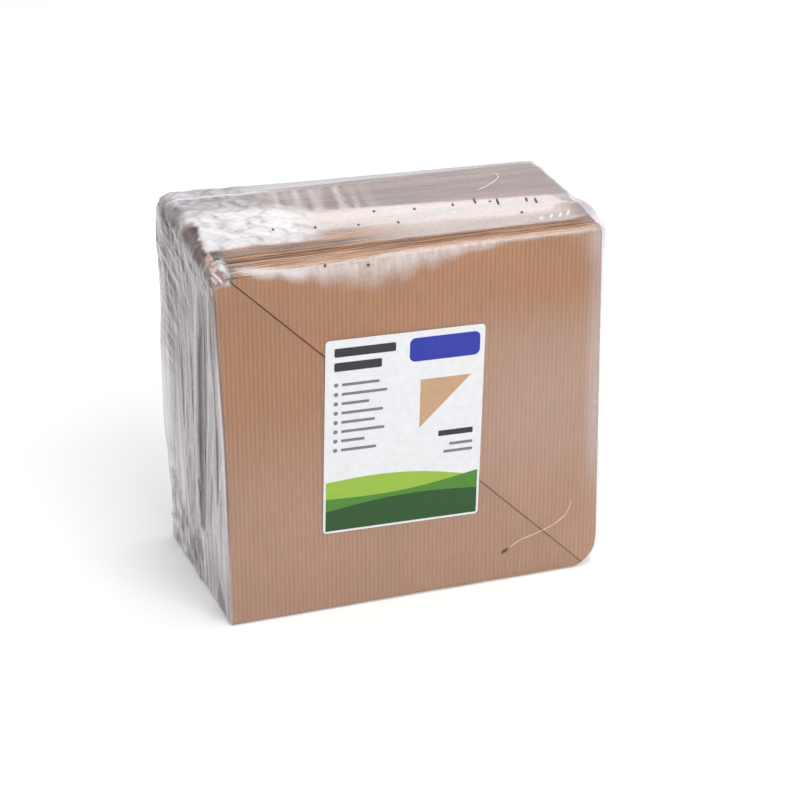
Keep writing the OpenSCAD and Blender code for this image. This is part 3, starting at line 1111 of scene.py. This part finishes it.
# Bars: left, foot, width, height, radius of the corners, and the ink
BARS = (
    (2, 36, 36, 12.5, 3.0, "label_blue"), (-36, 43, 31, 4.6, 0.8, "label_black"),
    (-36, 35.5, 24, 4.6, 0.8, "label_black"), (18, -6, 18, 3.0, 0.6, "label_black"),
    (24, -11.5, 12, 1.5, 0.4, "label_grey"), (21, -15.5, 15, 1.5, 0.4, "label_grey"),
)
# Lines of a list, each with a dot before it
LIST_WIDTHS = (19, 23, 14, 21, 17, 22, 12, 18)
LIST_PITCH = 5
LIST_DOT = 2.2
LIST_LINE_H = 1.5
TRIANGLE = ((8, 26), (34, 26), (8, 0))


def rounded_rect(left, low, right, high, radius, steps=5):
    """Counterclockwise outline of a rectangle with round corners."""
    outline = []
    for x, y, start in (
        (right - radius, low + radius, -90), (right - radius, high - radius, 0),
        (left + radius, high - radius, 90), (left + radius, low + radius, 180),
    ):
        for n in range(steps + 1):
            angle = math.radians(start + 90 * n / steps)
            outline.append((x + radius * math.cos(angle), y + radius * math.sin(angle)))
    return outline


def on_label(u, v):
    """Place on the pack of a point of the label, counted right and up from the label's middle."""
    turn = math.radians(LABEL_TURN)
    x = LABEL_MID[0] + u * math.cos(turn) + v * math.sin(turn)
    z = LABEL_MID[2] - u * math.sin(turn) + v * math.cos(turn)
    return x, z


class LabelMesh:
    """Gathers the flat plates of the label and its print into one mesh."""

    def __init__(self):
        self.points, self.faces, self.slots, self.inks = [], [], [], []

    def plate(self, outline, ink, front, back):
        if ink not in self.inks:
            self.inks.append(ink)
        start, count = len(self.points), len(outline)
        for depth in (front, back):
            for u, v in outline:
                x, z = on_label(u, v)
                self.points.append((x, depth, z))
        new = prism_faces(start, count)
        self.faces.extend(new)
        self.slots.extend([self.inks.index(ink)] * len(new))

    def ink(self, outline, ink, layer=1):
        self.plate(outline, ink, LABEL_LOW[1] - INK_T * layer, LABEL_LOW[1] + INK_T / 2)

    def bar(self, left, low, width, height, radius, ink):
        self.ink(rounded_rect(left, low, left + width, low + height, radius), ink)


def hill(left_high, right_high, bulge, steps=24):
    """Field across the foot of the label with a gently curved top."""
    left, right = -LABEL_W / 2 + HILL_INSET, LABEL_W / 2 - HILL_INSET
    outline = [(left, HILL_FOOT), (right, HILL_FOOT)]
    for n in range(steps + 1):
        t = n / steps
        high = right_high + (left_high - right_high) * t + bulge * math.sin(math.pi * t)
        outline.append((right + (left - right) * t, high))
    return outline


def label_sheet():
    """White paper label with plain printed fields."""
    made = LabelMesh()
    paper = rounded_rect(-LABEL_W / 2, -LABEL_H / 2, LABEL_W / 2, LABEL_H / 2, LABEL_R)
    made.plate(paper, "label_white", LABEL_LOW[1], LABEL_HIGH[1])
    for layer, (left_high, right_high, bulge, ink) in enumerate(HILLS, 1):
        made.ink(hill(left_high, right_high, bulge), ink, layer)
    for bar in BARS:
        made.bar(*bar)
    for n, width in enumerate(LIST_WIDTHS):
        made.bar(-36, 27.2 - LIST_PITCH * n, LIST_DOT, LIST_DOT, 1.0, "label_grey")
        made.bar(-32, 27.5 - LIST_PITCH * n, width, LIST_LINE_H, 0.4, "label_grey")
    made.ink(TRIANGLE, "label_kraft")
    sheet = new_mesh("label_sheet", forward(made.points), made.faces, False)
    for ink in made.inks:
        sheet.data.materials.append(print_material(ink, from_srgb(*INK_COLOURS[ink])))
    sheet.data.polygons.foreach_set("material_index", made.slots)
    return sheet


# Small marks in the film

# Stretch marks, along x and z on the front and along x and y on the top, and painted glints on the top:
# short raised tubes of near-white colour standing in for highlights on small wrinkles
FRONT_MARK = (
    (54.3, 18.6), (59.5, 21.8), (67.7, 24.2), (76.4, 27.1), (81.2, 29.9), (85, 33.3), (87.3, 39.7),
)
TOP_MARK = ((55, 7.2), (62.5, 12.5), (69.5, 19.5), (71.8, 25), (70.5, 29))
PAINTED_GLINTS = (
    ((71.4, -35.2), (74.6, -33)), ((77.5, -34.3), (80.2, -31.2)), ((81.9, -34.9), (85, -30.6)),
    ((86.3, -34.2), (89.4, -30)),
)


# A way that no strand runs along
ASKEW = (0.31, 0.2, 0.93)


def tube(name, path, radius, sides=8):
    """Thin closed strand along a path."""
    path = np.asarray(path, float)
    points = []
    for n, place in enumerate(path):
        ahead = path[min(n + 1, len(path) - 1)] - path[max(n - 1, 0)]
        ahead /= np.linalg.norm(ahead)
        across = np.cross(ahead, ASKEW)
        across /= np.linalg.norm(across)
        up = np.cross(ahead, across)
        thin = radius * (0.35 if n in (0, len(path) - 1) else 1)
        for k in range(sides):
            angle = 2 * math.pi * k / sides
            points.append(place + thin * (math.cos(angle) * across + math.sin(angle) * up))
    faces = ring_faces(0, len(path), sides, flip=True)
    faces.append(list(range(sides))[::-1])
    faces.append([(len(path) - 1) * sides + k for k in range(sides)])
    return new_mesh(name, points, faces, True)


def curve_through(marks, steps=8):
    """Smooth path through marks."""
    marks = np.asarray(marks, float)
    padded = np.vstack((2 * marks[0] - marks[1], marks, 2 * marks[-1] - marks[-2]))
    path = []
    for a, b, c, d in zip(padded, padded[1:], padded[2:], padded[3:]):
        for n in range(steps):
            t = n / steps
            bend = (2 * a - 5 * b + 4 * c - d) * t ** 2 + (3 * b - a - 3 * c + d) * t ** 3
            path.append(0.5 * (2 * b + (c - a) * t + bend))
    path.append(marks[-1])
    return path


def over_top(film, marks, lift):
    """Places just over the film's top."""
    return [(x, y, film_top(film, x, y) + lift) for x, y in marks]


# Build the pieces

lower = stack_sheets("lower_cone_sheets", False)
upper = stack_sheets("upper_cone_sheets", True)
film = film_skin()
label = label_sheet()
gathers = film_gathers()
rims = vent_rims(film)
front_path = forward([(x, FRONT - 0.15, z) for x, z in FRONT_MARK])
front_mark = tube("stretch_mark_front", curve_through(front_path), 0.2)
top_mark = tube("stretch_mark_top", curve_through(over_top(film, TOP_MARK, 0.15)), 0.3)
painted_glints = [
    tube("pucker_%d" % n, curve_through(over_top(film, ends, 0.1), 4), 0.8)
    for n, ends in enumerate(PAINTED_GLINTS)
]

for finish, pieces in (
    (kraft_material(), (lower, upper)),
    (film_material(), (film, gathers)),
    (print_material("vent_burnt_shaded", from_srgb(88, 72, 68), 0.3), (rims,)),
    (print_material("film_strand", from_srgb(240, 222, 206), 0.25), (front_mark, top_mark)),
    # Near-white painted glints on the top
    (print_material("film_painted_glint", from_srgb(238, 228, 222), 0.2), painted_glints),
):
    for piece in pieces:
        piece.data.materials.append(finish)

for piece, node, slot in (
    (lower, "lower_cones", "kraft_paper"),
    (upper, "upper_cones", "kraft_paper"),
    (film, "shrink_film", "clear_film"),
    (label, "label", "label_paper"),
    (gathers, None, "clear_film"),
    (rims, None, "clear_film"),
    (front_mark, None, "clear_film"),
    (top_mark, None, "clear_film"),
    *((piece, None, "clear_film") for piece in painted_glints),
):
    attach(piece, "root")
    if node:
        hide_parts(node)


# Studio


def aim(piece, place, target):
    """Puts a camera or lamp at a place, looking at a target, in metres."""
    piece.location = place
    piece.rotation_euler = (Vector(place) - Vector(target)).to_track_quat("Z", "Y").to_euler()


def around(target, azimuth, elevation, distance):
    """Place at a distance from a target, azimuth 0 being straight in front."""
    a, e = math.radians(azimuth), math.radians(elevation)
    way = Vector((math.sin(a) * math.cos(e), -math.cos(a) * math.cos(e), math.sin(e)))
    return Vector(target) + distance * way


# Lamps round the pack's top: name, azimuth, elevation, distance, width, height, level of the face
LAMP_TARGET = (0, 0, 0.19)
LAMPS = (
    ("key", 18, 45, 3.2, 1.8, 1.5, 4.6),
    ("overhead", 60, 80, 1.7, 1.6, 1.2, 2.35),
    ("strip", 162.3, 24.0, 1.6, 1.8, 0.1, 2.7),
)


def softbox(name, azimuth, elevation, distance, width, height, level):
    """Rectangular lamp whose face shines at the given level."""
    lamp = bpy.data.lights.new(name, "AREA")
    lamp.shape = "RECTANGLE"
    lamp.size, lamp.size_y = width, height
    lamp.energy = level * math.pi * width * height
    made = bpy.data.objects.new(name, lamp)
    bpy.context.collection.objects.link(made)
    made.visible_camera = False
    aim(made, around(LAMP_TARGET, azimuth, elevation, distance), LAMP_TARGET)


# Half width of the floor in millimetres, and the light that it adds to look white
FLOOR_HALF = 6000
FLOOR_LIFT = 0.18


def white_floor():
    """White floor that keeps the pack's shadow and looks white to the camera and to the film."""
    made, tree, place = new_material("floor_white")
    tint = ramp(tree, noise(tree, place, 300.0, 2.0), [(0.0, grey(0.94)), (1.0, grey(0.96))])
    paint = add(tree, "BsdfDiffuse", {"Color": tint})
    path = add(tree, "LightPath").outputs
    seen = plus(tree, path["Is Camera Ray"], path["Is Glossy Ray"])
    seen = plus(tree, seen, path["Is Transmission Ray"])
    lift = add(tree, "Emission", {"Color": (1, 1, 1, 1), "Strength": times(tree, seen, FLOOR_LIFT)})
    show(tree, add(tree, "AddShader", {0: paint.outputs[0], 1: lift.outputs[0]}))
    corners = [(FLOOR_HALF * x, FLOOR_HALF * y, 0) for x, y in ((-1, -1), (1, -1), (1, 1), (-1, 1))]
    floor = new_mesh("floor", corners, [(0, 1, 2, 3)], False)
    floor.data.materials.append(made)


def studio_world():
    """White surround near the horizon, grey above it."""
    world = bpy.data.worlds.new("studio")
    world.use_nodes = True
    tree = world.node_tree
    tree.nodes.clear()
    way = add(tree, "TexCoord").outputs["Generated"]
    up = add(tree, "SeparateXYZ", {0: way}).outputs["Z"]
    sky = ramp(tree, up, [(0.0, grey(0.98)), (0.34, grey(0.95)), (0.40, grey(0.36)), (1.0, grey(0.34))])
    back = add(tree, "Background", {"Color": sky})
    out = add(tree, "OutputWorld")
    tree.links.new(back.outputs[0], out.inputs["Surface"])
    bpy.context.scene.world = world


camera = bpy.data.objects.new("camera", bpy.data.cameras.new("camera"))
bpy.context.collection.objects.link(camera)
camera.data.lens = CAMERA_LENS
camera.data.sensor_width = SENSOR_WIDTH
target = Vector(CAMERA_TARGET) * MM
aim(camera, around(target, CAMERA_AZIMUTH, CAMERA_ELEVATION, CAMERA_DISTANCE * MM), target)
bpy.context.scene.camera = camera
bpy.context.scene.view_settings.view_transform = "Standard"

white_floor()
studio_world()
for lamp in LAMPS:
    softbox(*lamp)
